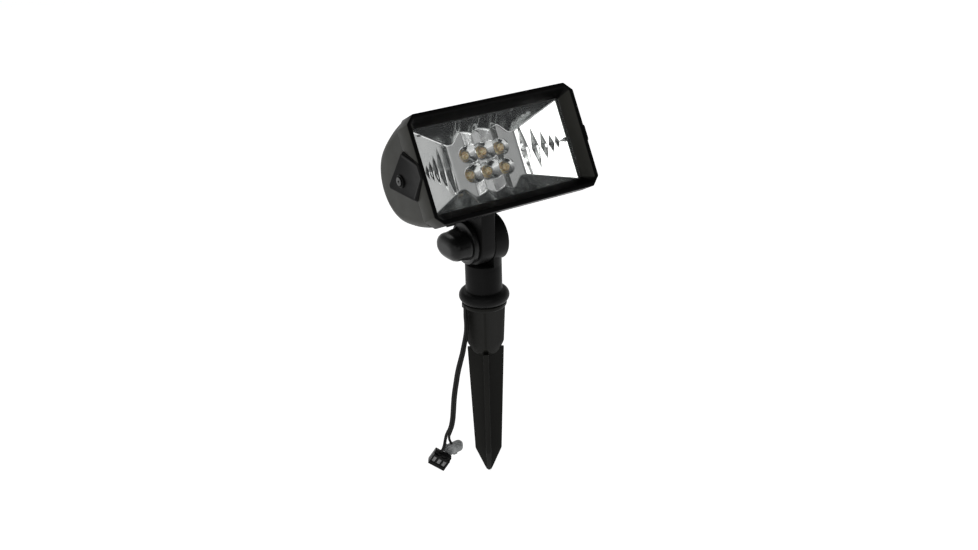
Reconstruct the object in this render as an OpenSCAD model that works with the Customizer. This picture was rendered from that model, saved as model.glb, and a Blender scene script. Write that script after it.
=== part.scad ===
// Light projector stake: a floodlight head on a tilting knuckle, a stem with a flange, and a
// ground spike. A twin cord leaves under the flange and ends in a two-part cable tap.
// Millimetres. The origin is the centre of the flange's underside, at ground level. +Z is up,
// X runs along the tilt axis, and the light shines towards -Y and upwards.

/* [Head] */
// Width of the front frame
head_w = 152; // [130:1:185]
// Height of the front frame
head_h = 85; // [76:1:104]
// Depth from the front of the frame to the back of the housing
head_depth = 75; // [68:1:92]
// Radius of the housing's top and bottom curves
housing_arc = 136; // [125:1:165]
// Rounding of the housing's end edges
end_round = 8; // [4:0.5:10]
// Wall of the housing
wall = 2.5; // [2:0.1:3.5]
// Upward tilt of the light at rest, in degrees
tilt = 28.5; // [20:0.5:40]

/* [Front frame] */
// Width of the window
window_w = 135; // [110:1:138]
// Height of the window
window_h = 66; // [56:1:70]
// Depth of the window's edge behind the front
window_recess = 11; // [8:0.5:12]
// Flat width of the frame's front
rim_flat = 3.5; // [2.5:0.5:5]
// Depth of the frame's skirt
skirt_depth = 18; // [17:0.5:22]
// Chamfer of the frame's corners
frame_chamfer = 7; // [5:0.5:9]
// Wall of the skirt
skirt_wall = 2.5; // [2:0.1:3]
// Depth of the side screws behind the front
side_screw_depth = 32; // [28:1:36]

/* [Optics] */
// Thickness of the lens
lens_t = 3; // [2:0.5:3.5]
// Thickness of the lens gasket
gasket_t = 1.5; // [1:0.5:2]
// Thickness of the reflector
reflector_t = 1.2; // [1:0.1:1.6]
// Width of the reflector's floor
floor_w = 54; // [46:1:58]
// Height of the reflector's floor
floor_h = 48; // [36:1:50]
// Depth of the reflector's floor behind the front
floor_depth = 33; // [30:0.5:35]
// Light sources in a row
led_cols = 3; // [2:1:3]
// Rows of light sources
led_rows = 2; // [1:1:2]
// Spacing along a row
led_pitch_x = 16.5; // [14:0.5:17]
// Spacing between rows
led_pitch_z = 16; // [13:0.5:17]
// Diameter of each lens dome
dome_d = 7; // [5:0.5:7.5]

/* [Knuckle] */
// Height of the tilt axis above the flange's underside
hinge_z = 55; // [50:1:66]
// Distance from the housing's back curve to the tilt axis
neck_len = 30.5; // [28:0.5:36]
// Lean of the neck from straight down, in the head's own frame, in degrees
neck_lean = 29.5; // [20:0.5:36]
// Radius of the knuckle's lugs
lug_r = 19.5; // [18:0.5:22]
// Thickness of each lug
lug_t = 12.5; // [12:0.5:15]
// Width of the saddle that carries the housing
saddle_w = 44; // [42:1:56]
// Radius of the clamping bolt
bolt_r = 3; // [2.5:0.5:3.5]

/* [Knob] */
// Radius of the knob's flange
knob_r = 17.5; // [15:0.5:19]
// Thickness of the knob's flange
knob_flange_t = 4.7; // [4:0.1:6]
// Length of the knob's wings along the bolt
wing_len = 18; // [14:0.5:20]
// Half-span of the wings
wing_span = 17; // [14:0.5:18]

/* [Stem] */
// Radius of the stem
stem_r = 15.2; // [14.5:0.1:17]
// Radius of the flange
flange_r = 21; // [20.5:0.5:25]
// Thickness of the flange
flange_t = 10.5; // [8:0.5:12]
// Radius of the plug that enters the spike
plug_r = 9; // [7.5:0.25:9]
// Length of the plug
plug_len = 30; // [20:1:36]
// Radius of the stem's wire bore
bore_r = 5.5; // [5:0.25:6]

/* [Spike] */
// Length of the spike below the flange
spike_len = 165; // [140:1:210]
// Depth of the square socket
socket_len = 45; // [40:1:52]
// Corner radius of the socket at its top
socket_top_r = 17.3; // [16.5:0.1:19]
// Corner radius of the socket at its bottom
socket_low_r = 15.3; // [14.8:0.1:17]
// Thickness of the blades
blade_t = 4.5; // [3:0.5:6]
// Half-width of the blades where the point starts
blade_low_r = 11.5; // [10:0.5:13]
// Length of the point
point_len = 23; // [18:1:35]
// Thickness of the spike's top rim
rim_t = 4; // [3:0.5:5]

/* [Cord] */
// Thickness of the cord
cord_d = 3.8; // [3:0.1:4]
// Thickness of each split lead
lead_d = 2.4; // [1.8:0.1:2.8]

/* [Hidden] */
$fn = 64;

// Clearances
seam = 0.3;             // between parts that slip together
air = 0.8;              // between moving faces that never touch
face_gap = 0.1;         // between the washer and the turning lug
bolt_clear = 0.05;      // round the bolt, where the lug and the knob turn on it
screw_clear = 0.05;     // round a screw's shank
eps = 0.01;
slice_t = 0.2;          // thickness of the thin slices that hulls span

// Housing outline: two large arcs run into one smaller arc at the back
front_r = housing_arc - head_h / 2;
back_r = (pow(housing_arc, 2) - pow(head_depth, 2) - pow(front_r, 2))
    / (2 * (housing_arc - head_depth));
back_y = head_depth - back_r;
join_a = atan2(front_r, back_y);
housing_w = head_w - 2;
shell_front = skirt_depth + seam;
arc_steps = 10;

// Stack behind the window
lip_back = window_recess + 1.5;
lens_w = window_w + 6;
lens_h = window_h + 6;
lens_back = lip_back + lens_t;
reflector_back = lens_back + reflector_t;
gasket_back = reflector_back + gasket_t;
ledge_t = 2;
ledge_back = gasket_back + ledge_t;
spigot_w = head_w - 2 * (skirt_wall + seam);
spigot_h = head_h - 2 * (skirt_wall + seam);
spigot_wall = 1.9;
floor_back = floor_depth + reflector_t;
rib_place = [0.21, 0.42, 0.58, 0.73, 0.84];     // share of the way up the end wall
rib_t = 1.6;
rib_longest = 44;
rib_taper = 0.66;
rib_highest = 3.6;
rib_drop = 0.35;
base_side = dome_d;
base_t = 1.5;
base_front = floor_back + seam;
board_front = base_front + base_t;
board_t = 1.6;
board_w = 76;
board_h = 44;
board_screw_x = 34;
board_screw_z = 14;
spreader_front = board_front + board_t;
spreader_t = 3;
spreader_w = 100;
spreader_h = 52;
spreader_back = spreader_front + spreader_t;
post_x = 44;
post_z = 12;
post_r = 4;
fin_t = 1.6;
fin_len = 6;
standoff_x = 27;
standoff_z = 14;
standoff_len = 12;
driver_front = spreader_back + standoff_len;
driver_w = 62;
driver_h = 34;
driver_t = 1.6;
driver_back = driver_front + driver_t;
pin_screw_r = 1.4;      // small screws of the boards
side_screw_r = 1.9;     // screws of the frame and the saddle
screw_head_r = 3.3;
screw_head_t = 2;

// Side tabs of the frame
tab_proud = 2.5;
tab_in = housing_w / 2 + seam;
tab_out = head_w / 2 + tab_proud;
tab_half = 16.5;
tab_nose = 5.5;
tab_widest = skirt_depth;
tab_tip = side_screw_depth + 16;
tab_corner = 2;
tab_boss_r = 5;
tab_boss_len = 9;

// Knuckle
lug_gap = 0.8;          // washer between the lugs
lug_in = lug_gap / 2;
lug_out = lug_in + lug_t;
neck_reach = neck_len + back_r;
sweep_r = lug_r + air + 0.7;
saddle_front = 2;
saddle_rear = 20;
saddle_gasket_t = 1;
saddle_low = 8;
saddle_screw_x = 17;
saddle_screw_y = 9;
saddle_seat = neck_len + wall + 4.5;
saddle_screw_end = neck_len - 6;
saddle_boss_r = screw_head_r + 1.4;
pocket_in = 6.5;        // hollow ring for the wires in each lug
pocket_out = 14;
pocket_d = 8;
wire_r = 3.3;
wire_x = -(lug_in + pocket_d - wire_r - 1);
leads_r = 2.2;
washer_in = pocket_out + 0.5;
washer_out = lug_r - 1;
bolt_head_r = 5.5;
bolt_head_t = 4;
bolt_end = lug_out + knob_flange_t + 11;

// Knob
knob_washer_t = 1;
knob_face = lug_out + face_gap + knob_washer_t;
knob_back = knob_face + knob_flange_t;
knob_end = knob_back + wing_len;
hub_r = 8.5;
wing_t = 11;
nut_r = 6.4;
nut_t = 6;

// Stem and spike
stem_top = hinge_z - lug_r - air;
plug_slot = 6;
spike_wall_gap = 0.15;
rim_r = flange_r - 1.7;
socket_corner = 2;
ledge_drop = 5;
spike_turn = 57;        // a corner of the socket faces the front left
socket_floor = plug_len + 4;

// Cord: [outward, sideways, height] in a frame turned about Z
cord_turn = 147;
cord_path = [[16, 6, -4], [16, 6, -11.1], [15.6, 6, -18.3], [15.8, 6, -25.4], [16.8, 6, -32.5],
    [18.2, 6, -39.5], [19.6, 6, -46.5], [21.4, 6, -53.4], [23.2, 6, -60.3], [24.7, 6, -67.3],
    [25.9, 6, -74.4], [27.1, 6.1, -81.4], [28.1, 6.4, -88.5], [28.8, 6.6, -95.6],
    [29.4, 6.9, -102.7], [30.2, 7.3, -109.8], [31.7, 7.7, -116.7], [34.3, 7.6, -123.4]];
lead_dark_path = [[35.5, 7.6, -123.1], [36.25, 7.6, -124.95], [37.2, 8.8, -128.6],
    [38.1, 10.8, -132.6], [39.55, 12.2, -136.37], [41.23, 12.2, -138.86]];
lead_clear_path = [[33.1, 7.6, -124], [33.7, 7.6, -125.45], [33.9, 6.2, -129],
    [33.2, 5, -132.7], [32.15, 5, -135]];
grip_w = 6;
grip_in = 10.5;
grip_a = atan2(cord_path[0][1], cord_path[0][0]);
tap_centre = [42.6, 12.2, -145.9];
tap_lean = -34;
tap_size = [16, 8, 13];
tap_windows = [-4.6, 0.2, 5];
tap_window = [3.2, 2, 5];
tap_window_z = -0.6;
cap_centre = [30.3, 5, -139];
cap_lean = 25.5;
cap_size = [17, 6, 8.6];

black = [0.06, 0.06, 0.065];
frame_black = [0.04, 0.04, 0.045];
spike_grey = [0.16, 0.16, 0.165];
chrome = [0.82, 0.84, 0.86];
steel = [0.62, 0.63, 0.65];
brass = [0.76, 0.6, 0.28];
rubber = [0.08, 0.08, 0.08];
board_white = [0.9, 0.91, 0.88];
board_green = [0.1, 0.35, 0.2];
phosphor = [0.86, 0.7, 0.38];
clear_grey = [0.72, 0.74, 0.74];

// ---- frames and shapes ----

// The head's own frame: origin at the middle of the front, +Y into the housing, +Z up the face
module at_head() {
    translate([0, 0, hinge_z]) rotate([-tilt, 0, 0])
        translate([0, -back_y - neck_reach * sin(neck_lean), neck_reach * cos(neck_lean)])
            children();
}

// The neck's frame inside the head's own frame
module at_neck_in_head() {
    translate([0, back_y + neck_reach * sin(neck_lean), -neck_reach * cos(neck_lean)])
        rotate([neck_lean, 0, 0]) children();
}

// The neck's frame: origin on the tilt axis, +Z up the neck to the centre of the back curve
module at_neck() {
    translate([0, 0, hinge_z]) rotate([neck_lean - tilt, 0, 0]) children();
}

module at_hinge() { translate([0, 0, hinge_z]) children(); }

module at_cord() { rotate([0, 0, cord_turn]) children(); }

// A cylinder along +X from x0 to x1
module along_x(r, x0, x1) { translate([x0, 0, 0]) rotate([0, 90, 0]) cylinder(r = r, h = x1 - x0); }

// A cylinder along +Y from y0 to y1
module along_y(r, y0, y1) { translate([0, y0, 0]) rotate([-90, 0, 0]) cylinder(r = r, h = y1 - y0); }

// A block centred on X and Z, from y0 to y1
module slab(w, h, y0, y1) { translate([-w / 2, y0, -h / 2]) cube([w, y1 - y0, h]); }

// The same with chamfered corners
module slab_cut(w, h, y0, y1, c) {
    translate([0, y1, 0]) rotate([90, 0, 0]) linear_extrude(y1 - y0)
        polygon([[c - w / 2, -h / 2], [w / 2 - c, -h / 2], [w / 2, c - h / 2], [w / 2, h / 2 - c],
            [w / 2 - c, h / 2], [c - w / 2, h / 2], [-w / 2, h / 2 - c], [-w / 2, c - h / 2]]);
}

// The corner chamfer of the frame's outline, set in by d
function chamfer_in(d) = frame_chamfer - d * (2 - sqrt(2));

module mirror_x() { for (side = [0, 1]) mirror([side, 0, 0]) children(); }

// Points [y, z] on an arc
function arc(cy, cz, r, a0, a1, n) =
    [for (i = [0:n]) let (a = a0 + (a1 - a0) * i / n) [cy + r * cos(a), cz + r * sin(a)]];

// The housing's outline in the YZ plane from depth y0 back, drawn inward by inset
function outline(y0, inset) = let (
    big = housing_arc - inset, start = acos(y0 / big),
    upper = arc(0, -front_r, big, start, join_a, arc_steps),
    back = arc(back_y, 0, back_r - inset, join_a, -join_a, 2 * arc_steps),
    lower = arc(0, front_r, big, -join_a, -start, arc_steps))
    concat(upper, [for (i = [1:len(back) - 2]) back[i]], lower);

// The outline as a prism along X
module outline_prism(y0, inset, w) {
    translate([-w / 2, 0, 0]) rotate([90, 0, 90]) linear_extrude(w) polygon(outline(y0, inset));
}

// The outline with rounded end edges
module rounded_body(y0, inset, w, r) {
    hull() for (side = [-1, 1], a = [0:22.5:90])
        translate([side * (w / 2 - slice_t / 2 - r * (1 - sin(a))), 0, 0])
            outline_prism(y0, inset + r * (1 - cos(a)), slice_t);
}

// The reflector's funnel, grown outward by g
module funnel(g) {
    hull() {
        slab(window_w + 2 * g, window_h + 2 * g, lens_back, lens_back + slice_t);
        slab(floor_w + 2 * g, floor_h + 2 * g, floor_depth + g - slice_t, floor_depth + g);
    }
}

module at_leds() {
    for (i = [0:led_cols - 1], j = [0:led_rows - 1])
        translate([(i - (led_cols - 1) / 2) * led_pitch_x, 0, (j - (led_rows - 1) / 2) * led_pitch_z])
            children();
}

module at_corners(x, z) { for (sx = [-x, x], sz = [-z, z]) translate([sx, 0, sz]) children(); }

// A pan-head screw along +Y: the head stops at y = 0 and the shank goes on
module screw_y(r, len) {
    along_y(r, -0.5, len);
    difference() {
        along_y(screw_head_r * r / side_screw_r, -screw_head_t * r / side_screw_r, 0);
        translate([0, -screw_head_t, 0]) for (a = [0, 90]) rotate([0, a, 0])
            cube([screw_head_r, screw_head_t, 0.7], center = true);
    }
}

// A tube swept along points, with flat ends across its first and last stretch
function unit(v) = v / norm(v);
function bend(p, i) = unit(i == 0 ? p[1] - p[0] : i == len(p) - 1 ? p[i] - p[i - 1]
    : unit(p[i + 1] - p[i]) + unit(p[i] - p[i - 1]));
function ring(c, d, r, n) = let (u = unit(cross(d, [0, 1, 0])), v = cross(d, u))
    [for (k = [0:n - 1]) c + r * (cos(360 * k / n) * u + sin(360 * k / n) * v)];

module sweep(p, r, n = 8) {
    rings = [for (i = [0:len(p) - 1]) each ring(p[i], bend(p, i), r, n)];
    sides = [for (i = [0:len(p) - 2], k = [0:n - 1])
        [i * n + k, i * n + (k + 1) % n, (i + 1) * n + (k + 1) % n, (i + 1) * n + k]];
    first = [for (k = [0:n - 1]) n - 1 - k];
    last = [for (k = [0:n - 1]) (len(p) - 1) * n + k];
    polyhedron(points = rings, faces = concat([first], sides, [last]));
}

// ---- head ----

module housing() {
    color(black) at_head() difference() {
        union() {
            difference() {
                union() {
                    rounded_body(shell_front, 0, housing_w, end_round);
                    slab_cut(spigot_w, spigot_h, lip_back + seam, skirt_depth + 4,
                        chamfer_in(skirt_wall + seam));
                }
                rounded_body(ledge_back, wall, housing_w - 2 * wall, end_round - wall);
                slab_cut(spigot_w - 2 * spigot_wall, spigot_h - 2 * spigot_wall,
                    lip_back, gasket_back, chamfer_in(skirt_wall + seam + spigot_wall));
                slab(window_w + 2, window_h + 2, lip_back, ledge_back + 3);
            }
            at_corners(post_x, post_z) along_y(post_r, spreader_back, head_depth - 6);
            mirror_x() translate([0, side_screw_depth, 0])
                along_x(tab_boss_r, housing_w / 2 - tab_boss_len, housing_w / 2 - wall / 2);
            saddle_bosses();
        }
        at_corners(post_x, post_z)
            along_y(pin_screw_r + screw_clear, spreader_back - 1, spreader_back + 8);
        mirror_x() translate([0, side_screw_depth, 0])
            along_x(side_screw_r + screw_clear, housing_w / 2 - tab_boss_len - 1, housing_w);
        at_neck_in_head() {
            translate([wire_x, 0, neck_len - 6]) cylinder(r = wire_r, h = 14);
            at_saddle_screws() saddle_screw_hole();
        }
    }
}

module at_saddle_screws() {
    mirror_x() translate([saddle_screw_x, saddle_screw_y, 0]) children();
}

// Flat seats for the saddle screws inside the housing, in the head's own frame
module saddle_bosses() {
    intersection() {
        at_neck_in_head() at_saddle_screws() translate([0, 0, neck_len - 4])
            cylinder(r = saddle_boss_r, h = saddle_seat - neck_len + 4);
        outline_prism(shell_front, wall / 2, 2 * saddle_w);
    }
}

module saddle_screw_hole() {
    translate([0, 0, saddle_screw_end - 1])
        cylinder(r = side_screw_r + screw_clear, h = saddle_seat - saddle_screw_end + 2);
}

module side_tab() {
    translate([tab_in, 0, 0]) rotate([90, 0, 90]) hull() {
        for (z = [-tab_nose, tab_nose])
            translate([tab_corner + 1, z * 0.8, 0])
                cylinder(r = tab_corner, h = tab_out - tab_in, $fn = 32);
        for (z = [-tab_half, tab_half])
            translate([tab_widest, z, 0]) cylinder(r = tab_corner, h = tab_out - tab_in, $fn = 32);
        translate([tab_tip - tab_corner, 0, 0])
            cylinder(r = tab_corner, h = tab_out - tab_in, $fn = 32);
    }
}

module bezel() {
    color(frame_black) at_head() difference() {
        union() {
            slab_cut(head_w, head_h, 0, skirt_depth, frame_chamfer);
            side_tab();
            mirror([1, 0, 0]) side_tab();
        }
        slab_cut(head_w - 2 * skirt_wall, head_h - 2 * skirt_wall, lip_back, tab_tip + 1,
            chamfer_in(skirt_wall));
        slab(window_w, window_h, -1, lip_back + 1);
        hull() {
            slab(head_w - 2 * rim_flat, head_h - 2 * rim_flat, -slice_t, 0);
            slab(window_w, window_h, window_recess - slice_t, window_recess);
        }
        mirror_x() translate([0, side_screw_depth, 0]) {
            along_x(side_screw_r + screw_clear, tab_in - 1, tab_out + 1);
            along_x(screw_head_r + seam, tab_out - 1, tab_out + 1);
        }
    }
}

module bezel_screws() {
    color(steel) at_head() mirror_x() translate([tab_out - 1, side_screw_depth, 0])
        rotate([0, 0, 90]) screw_y(side_screw_r, tab_boss_len + tab_out - tab_in - 2);
}

module lens() {
    color([0.85, 0.92, 0.95, 0.35]) at_head() slab_cut(lens_w, lens_h, lip_back, lens_back, 4);
}

module lens_gasket() {
    color(rubber) at_head() difference() {
        slab_cut(lens_w, lens_h, reflector_back, gasket_back, 4);
        slab(window_w + 2 * (reflector_t + seam), window_h + 2 * (reflector_t + seam),
            reflector_back - 1, gasket_back + 1);
    }
}

// Spindle ribs across each end wall: they grow from the window towards the light sources
function rib_x(i) = floor_w / 2 + rib_place[i] * (window_w - floor_w) / 2;
function wall_y(x) = floor_depth
    - (floor_depth - lens_back) * (x - floor_w / 2) / ((window_w - floor_w) / 2);
function rib_chord(i) = rib_longest * pow(rib_taper, i);
function rib_rise(i) = rib_highest - rib_drop * i;
function rib_r(i) = (pow(rib_chord(i) / 2, 2) + pow(rib_rise(i), 2)) / (2 * rib_rise(i));

module reflector() {
    color(chrome) at_head() difference() {
        union() {
            difference() {
                union() {
                    slab_cut(lens_w, lens_h, lens_back, reflector_back, 4);
                    funnel(reflector_t);
                }
                funnel(0);
                slab(window_w, window_h, lens_back - 1, lens_back + slice_t);
            }
            intersection() {
                mirror_x() for (i = [0:len(rib_place) - 1])
                    translate([rib_x(i), wall_y(rib_x(i)) + rib_r(i) - rib_rise(i), 0])
                        along_x(rib_r(i), -rib_t / 2, rib_t / 2);
                funnel(reflector_t / 2);
            }
        }
        at_leds() along_y(dome_d / 2 + 0.6, floor_depth - 2, floor_back + 2);
    }
}

module led_board() {
    color(board_white) at_head() difference() {
        slab(board_w, board_h, board_front, spreader_front);
        at_corners(board_screw_x, board_screw_z)
            along_y(pin_screw_r + screw_clear, board_front - 1, spreader_front + 1);
    }
}

module led_bases() {
    color([0.93, 0.93, 0.9]) at_head() at_leds() slab(base_side, base_side, base_front, board_front);
}

module led_domes() {
    color(phosphor) at_head() at_leds() intersection() {
        translate([0, base_front, 0]) sphere(r = dome_d / 2);
        slab(dome_d + 1, dome_d + 1, base_front - dome_d, base_front);
    }
}

module board_screws() {
    color(steel) at_head() at_corners(board_screw_x, board_screw_z)
        translate([0, board_front, 0]) screw_y(pin_screw_r, board_t + spreader_t - 0.4);
}

module heat_spreader() {
    color([0.75, 0.76, 0.78]) at_head() difference() {
        union() {
            slab(spreader_w, spreader_h, spreader_front, spreader_back);
            for (z = [-20:8:20]) translate([0, 0, z])
                slab(40, fin_t, spreader_back - eps, spreader_back + fin_len);
        }
        at_corners(board_screw_x, board_screw_z)
            along_y(pin_screw_r + screw_clear, spreader_front - 1, spreader_back + 1);
        at_corners(post_x, post_z)
            along_y(pin_screw_r + screw_clear, spreader_front - 1, spreader_back + 1);
    }
}

module spreader_screws() {
    color(steel) at_head() at_corners(post_x, post_z)
        translate([0, spreader_front, 0]) screw_y(pin_screw_r, spreader_t + 7);
}

module standoffs() {
    color(brass) at_head() at_corners(standoff_x, standoff_z)
        along_y(2.4, spreader_back, driver_front);
}

module driver_board() {
    color(board_green) at_head() slab(driver_w, driver_h, driver_front, driver_back);
}

module driver_parts() {
    color([0.25, 0.25, 0.27]) at_head() {
        translate([-15, 0, 4]) along_y(5, driver_back, driver_back + 7);
        translate([0, 0, 6]) along_y(4, driver_back, driver_back + 7.5);
        translate([14, 0, 3]) slab(11, 11, driver_back, driver_back + 6);
        translate([-6, 0, -9]) slab(18, 7, driver_back, driver_back + 4);
        translate([17, 0, -10]) slab(9, 6, driver_back, driver_back + 5);
    }
}

// ---- knuckle ----

// The neck and its saddle before the housing's curve is cut from them
module saddle_block() {
    translate([-lug_out, -lug_r, 0]) cube([lug_t, 2 * lug_r, neck_len + 10]);
    translate([-saddle_w / 2, -saddle_front, saddle_low])
        cube([saddle_w, saddle_front + saddle_rear, neck_len + 10 - saddle_low]);
}

module upper_knuckle() {
    color(black) difference() {
        at_neck() {
            difference() {
                union() {
                    along_x(lug_r, -lug_out, -lug_in);
                    saddle_block();
                }
                along_x(sweep_r, -lug_in, saddle_w);
                along_x(sweep_r, -saddle_w, -lug_out);
                along_x(bolt_r + bolt_clear, -lug_out - 1, 1);
                difference() {
                    along_x(pocket_out, -lug_in - pocket_d, 1);
                    along_x(pocket_in, -lug_in - pocket_d - 1, 2);
                }
                translate([wire_x, 0, pocket_in + wire_r]) cylinder(r = wire_r, h = neck_len);
                at_saddle_screws() saddle_screw_hole();
            }
        }
        at_head() outline_prism(shell_front, -saddle_gasket_t, 2 * saddle_w);
    }
}

module saddle_gasket() {
    color(rubber) difference() {
        intersection() {
            at_neck() saddle_block();
            at_head() outline_prism(shell_front, -saddle_gasket_t, 2 * saddle_w);
        }
        at_head() outline_prism(shell_front, 0, 3 * saddle_w);
        at_neck() {
            translate([wire_x, 0, neck_len - 8]) cylinder(r = wire_r, h = 20);
            at_saddle_screws() saddle_screw_hole();
        }
    }
}

module saddle_screws() {
    color(steel) at_neck() at_saddle_screws() translate([0, 0, saddle_seat]) rotate([-90, 0, 0])
        screw_y(side_screw_r, saddle_seat - saddle_screw_end);
}

module head_leads() {
    color([0.15, 0.15, 0.16]) at_neck() {
        translate([wire_x, 0, pocket_in + wire_r + 0.5])
            cylinder(r = leads_r, h = neck_len + wall + 8 - pocket_in - wire_r);
    }
}

module knuckle_bolt() {
    color(steel) at_hinge() {
        along_x(bolt_r, -bolt_end, lug_out - bolt_head_t);
        translate([lug_out - bolt_head_t, 0, 0]) rotate([0, 90, 0])
            cylinder(r = bolt_head_r, h = bolt_head_t - 0.8, $fn = 6);
    }
}

module friction_washer() {
    color(rubber) at_hinge() difference() {
        along_x(washer_out, -lug_in + face_gap, lug_in);
        along_x(washer_in, -1, 1);
    }
}

module knob_washer() {
    color(steel) at_hinge() difference() {
        along_x(bolt_head_r + 3, -lug_out - face_gap - knob_washer_t, -lug_out - face_gap);
        along_x(bolt_r + bolt_clear, -lug_out - 5, -lug_out + 5);
    }
}

module knob() {
    color(black) at_hinge() difference() {
        union() {
            along_x(knob_r, -knob_back, -knob_face);
            along_x(hub_r, -knob_end + 3, -knob_face);
            hull() {
                for (y = [-1, 1]) translate([0, y * (wing_span - wing_t / 2), 0])
                    along_x(wing_t / 2, -knob_back - wing_len * 0.6, -knob_back + 0.5);
                for (y = [-1, 1]) translate([0, y * wing_span * 0.45, 0])
                    along_x(wing_t * 0.36, -knob_end, -knob_back - wing_len * 0.8);
            }
        }
        along_x(bolt_r + 0.5, -bolt_end - 1, 0);
        translate([-knob_face - nut_t, 0, 0]) rotate([0, 90, 0])
            cylinder(r = nut_r + seam / 3, h = nut_t + 1, $fn = 6);
    }
}

module knob_nut() {
    color(brass) at_hinge() difference() {
        translate([-knob_face - nut_t, 0, 0]) rotate([0, 90, 0])
            cylinder(r = nut_r, h = nut_t - 0.2, $fn = 6);
        along_x(bolt_r + bolt_clear, -knob_back - nut_t, 0);
    }
}

// ---- stem and spike ----

// The flange: a disc with a full round edge
module flange() {
    rotate_extrude() difference() {
        union() {
            square([flange_r - flange_t / 2, flange_t]);
            translate([flange_r - flange_t / 2, flange_t / 2]) circle(r = flange_t / 2);
        }
        translate([-flange_r, -1]) square([flange_r, flange_t + 2]);
    }
}

module stem() {
    color(black) difference() {
        union() {
            flange();
            translate([0, 0, flange_t / 2]) cylinder(r = stem_r, h = stem_top - flange_t / 2);
            translate([0, 0, -plug_len]) cylinder(r = plug_r, h = plug_len + 1);
            intersection() {
                translate([lug_in, -stem_r, stem_top - 1]) cube([stem_r, 2 * stem_r, lug_r]);
                translate([0, 0, flange_t]) cylinder(r = stem_r, h = hinge_z);
            }
            at_hinge() along_x(lug_r, lug_in, lug_out);
        }
        translate([0, 0, -plug_len - 1]) cylinder(r = bore_r, h = plug_len + stem_top - 4);
        translate([lug_in + pocket_d / 2, 0, stem_top - 8])
            cylinder(r = wire_r, h = hinge_z - pocket_in - wire_r - stem_top + 8);
        rotate([0, 0, cord_turn + grip_a]) translate([0, -plug_slot / 2, -plug_len - 1])
            cube([plug_r + 1, plug_slot, plug_len + 1]);
        at_hinge() {
            along_x(bolt_r + bolt_clear, 0, lug_out + 1);
            difference() {
                along_x(pocket_out, -1, lug_in + pocket_d);
                along_x(pocket_in, -2, lug_in + pocket_d + 1);
            }
            translate([lug_out - bolt_head_t, 0, 0]) rotate([0, 90, 0])
                cylinder(r = bolt_head_r + screw_clear, h = bolt_head_t + 1, $fn = 6);
        }
    }
}

// The socket's square outline as a thin slice, with its corners at radius r
module socket_slice(r, z) {
    for (a = [0:90:270]) rotate([0, 0, a]) translate([r - socket_corner, 0, z])
        cylinder(r = socket_corner, h = slice_t, $fn = 32);
}

// One upright blade through the axis, pointed at its foot
module blade() {
    rotate([90, 0, 0]) translate([0, 0, -blade_t / 2]) linear_extrude(blade_t)
        polygon([[-socket_low_r, 1 - socket_len], [-blade_low_r, point_len - spike_len],
            [-1, -spike_len], [1, -spike_len], [blade_low_r, point_len - spike_len],
            [socket_low_r, 1 - socket_len]]);
}

module spike() {
    color(spike_grey) difference() {
        union() {
            translate([0, 0, -rim_t]) cylinder(r = rim_r, h = rim_t);
            rotate([0, 0, spike_turn]) {
                hull() {
                    socket_slice(socket_top_r, -rim_t / 2);
                    socket_slice(socket_low_r, -socket_len);
                }
                hull() {
                    socket_slice(socket_low_r - 0.6, 2 - socket_len);
                    socket_slice(blade_t, -socket_len - ledge_drop);
                }
                blade();
                rotate([0, 0, 90]) blade();
            }
        }
        translate([0, 0, -socket_floor]) cylinder(r = plug_r + spike_wall_gap, h = socket_floor + 1);
        rotate([0, 0, cord_turn + grip_a]) translate([plug_r, -grip_w / 2, -rim_t - eps])
            cube([rim_r, grip_w, rim_t + 1]);
    }
}

module stem_cable() {
    color([0.15, 0.15, 0.16]) translate([0, 0, -plug_len + 6])
        cylinder(r = leads_r, h = stem_top + plug_len - 14);
}

// ---- cord and cable tap ----

module cord_grip() {
    color(rubber) rotate([0, 0, cord_turn + grip_a]) translate([grip_in, -grip_w / 2 + seam, -rim_t])
        cube([rim_r - grip_in - 0.3, grip_w - 2 * seam, rim_t - seam]);
}

module cord() { color(rubber) at_cord() sweep(cord_path, cord_d / 2); }

module lead_dark() { color(rubber) at_cord() sweep(lead_dark_path, lead_d / 2); }

module lead_clear() { color(rubber) at_cord() sweep(lead_clear_path, lead_d / 2); }

module at_tap() { at_cord() translate(tap_centre) rotate([0, tap_lean, 0]) children(); }

module tap_body() {
    color(black) at_tap() difference() {
        cube(tap_size, center = true);
        for (x = tap_windows) translate([x, tap_size[1] / 2, tap_window_z])
            cube([tap_window[0], 2 * tap_window[1], tap_window[2]], center = true);
    }
}

module tap_contacts() {
    color(brass) at_tap() for (x = tap_windows)
        translate([x, tap_size[1] / 2 - tap_window[1] + 0.6, tap_window_z])
            cube([tap_window[0] / 2, 1, tap_window[2] * 0.7], center = true);
}

module tap_cap() {
    color(clear_grey) at_cord() translate(cap_centre) rotate([0, cap_lean, 0]) difference() {
        union() {
            translate([cap_size[2] / 4, 0, 0])
                cube([cap_size[0] - cap_size[2] / 2, cap_size[1], cap_size[2]], center = true);
            translate([cap_size[2] / 2 - cap_size[0] / 2, 0, 0]) rotate([90, 0, 0])
                cylinder(r = cap_size[2] / 2, h = cap_size[1], center = true);
        }
        translate([cap_size[2] / 4, cap_size[1] / 2, 0]) cube([7, 3, 4.4], center = true);
    }
}

housing();
bezel();
bezel_screws();
lens();
lens_gasket();
reflector();
led_board();
led_bases();
led_domes();
board_screws();
heat_spreader();
spreader_screws();
standoffs();
driver_board();
driver_parts();
upper_knuckle();
saddle_gasket();
saddle_screws();
head_leads();
stem();
spike();
knuckle_bolt();
friction_washer();
stem_cable();
cord_grip();
cord();
lead_dark();
lead_clear();
tap_body();
tap_cap();
tap_contacts();
knob();
knob_nut();
knob_washer();
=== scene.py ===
"""Looks of the light projector stake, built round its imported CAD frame."""
import math

import bmesh
import bpy
import numpy as np
from mathutils import Matrix, Vector


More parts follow.
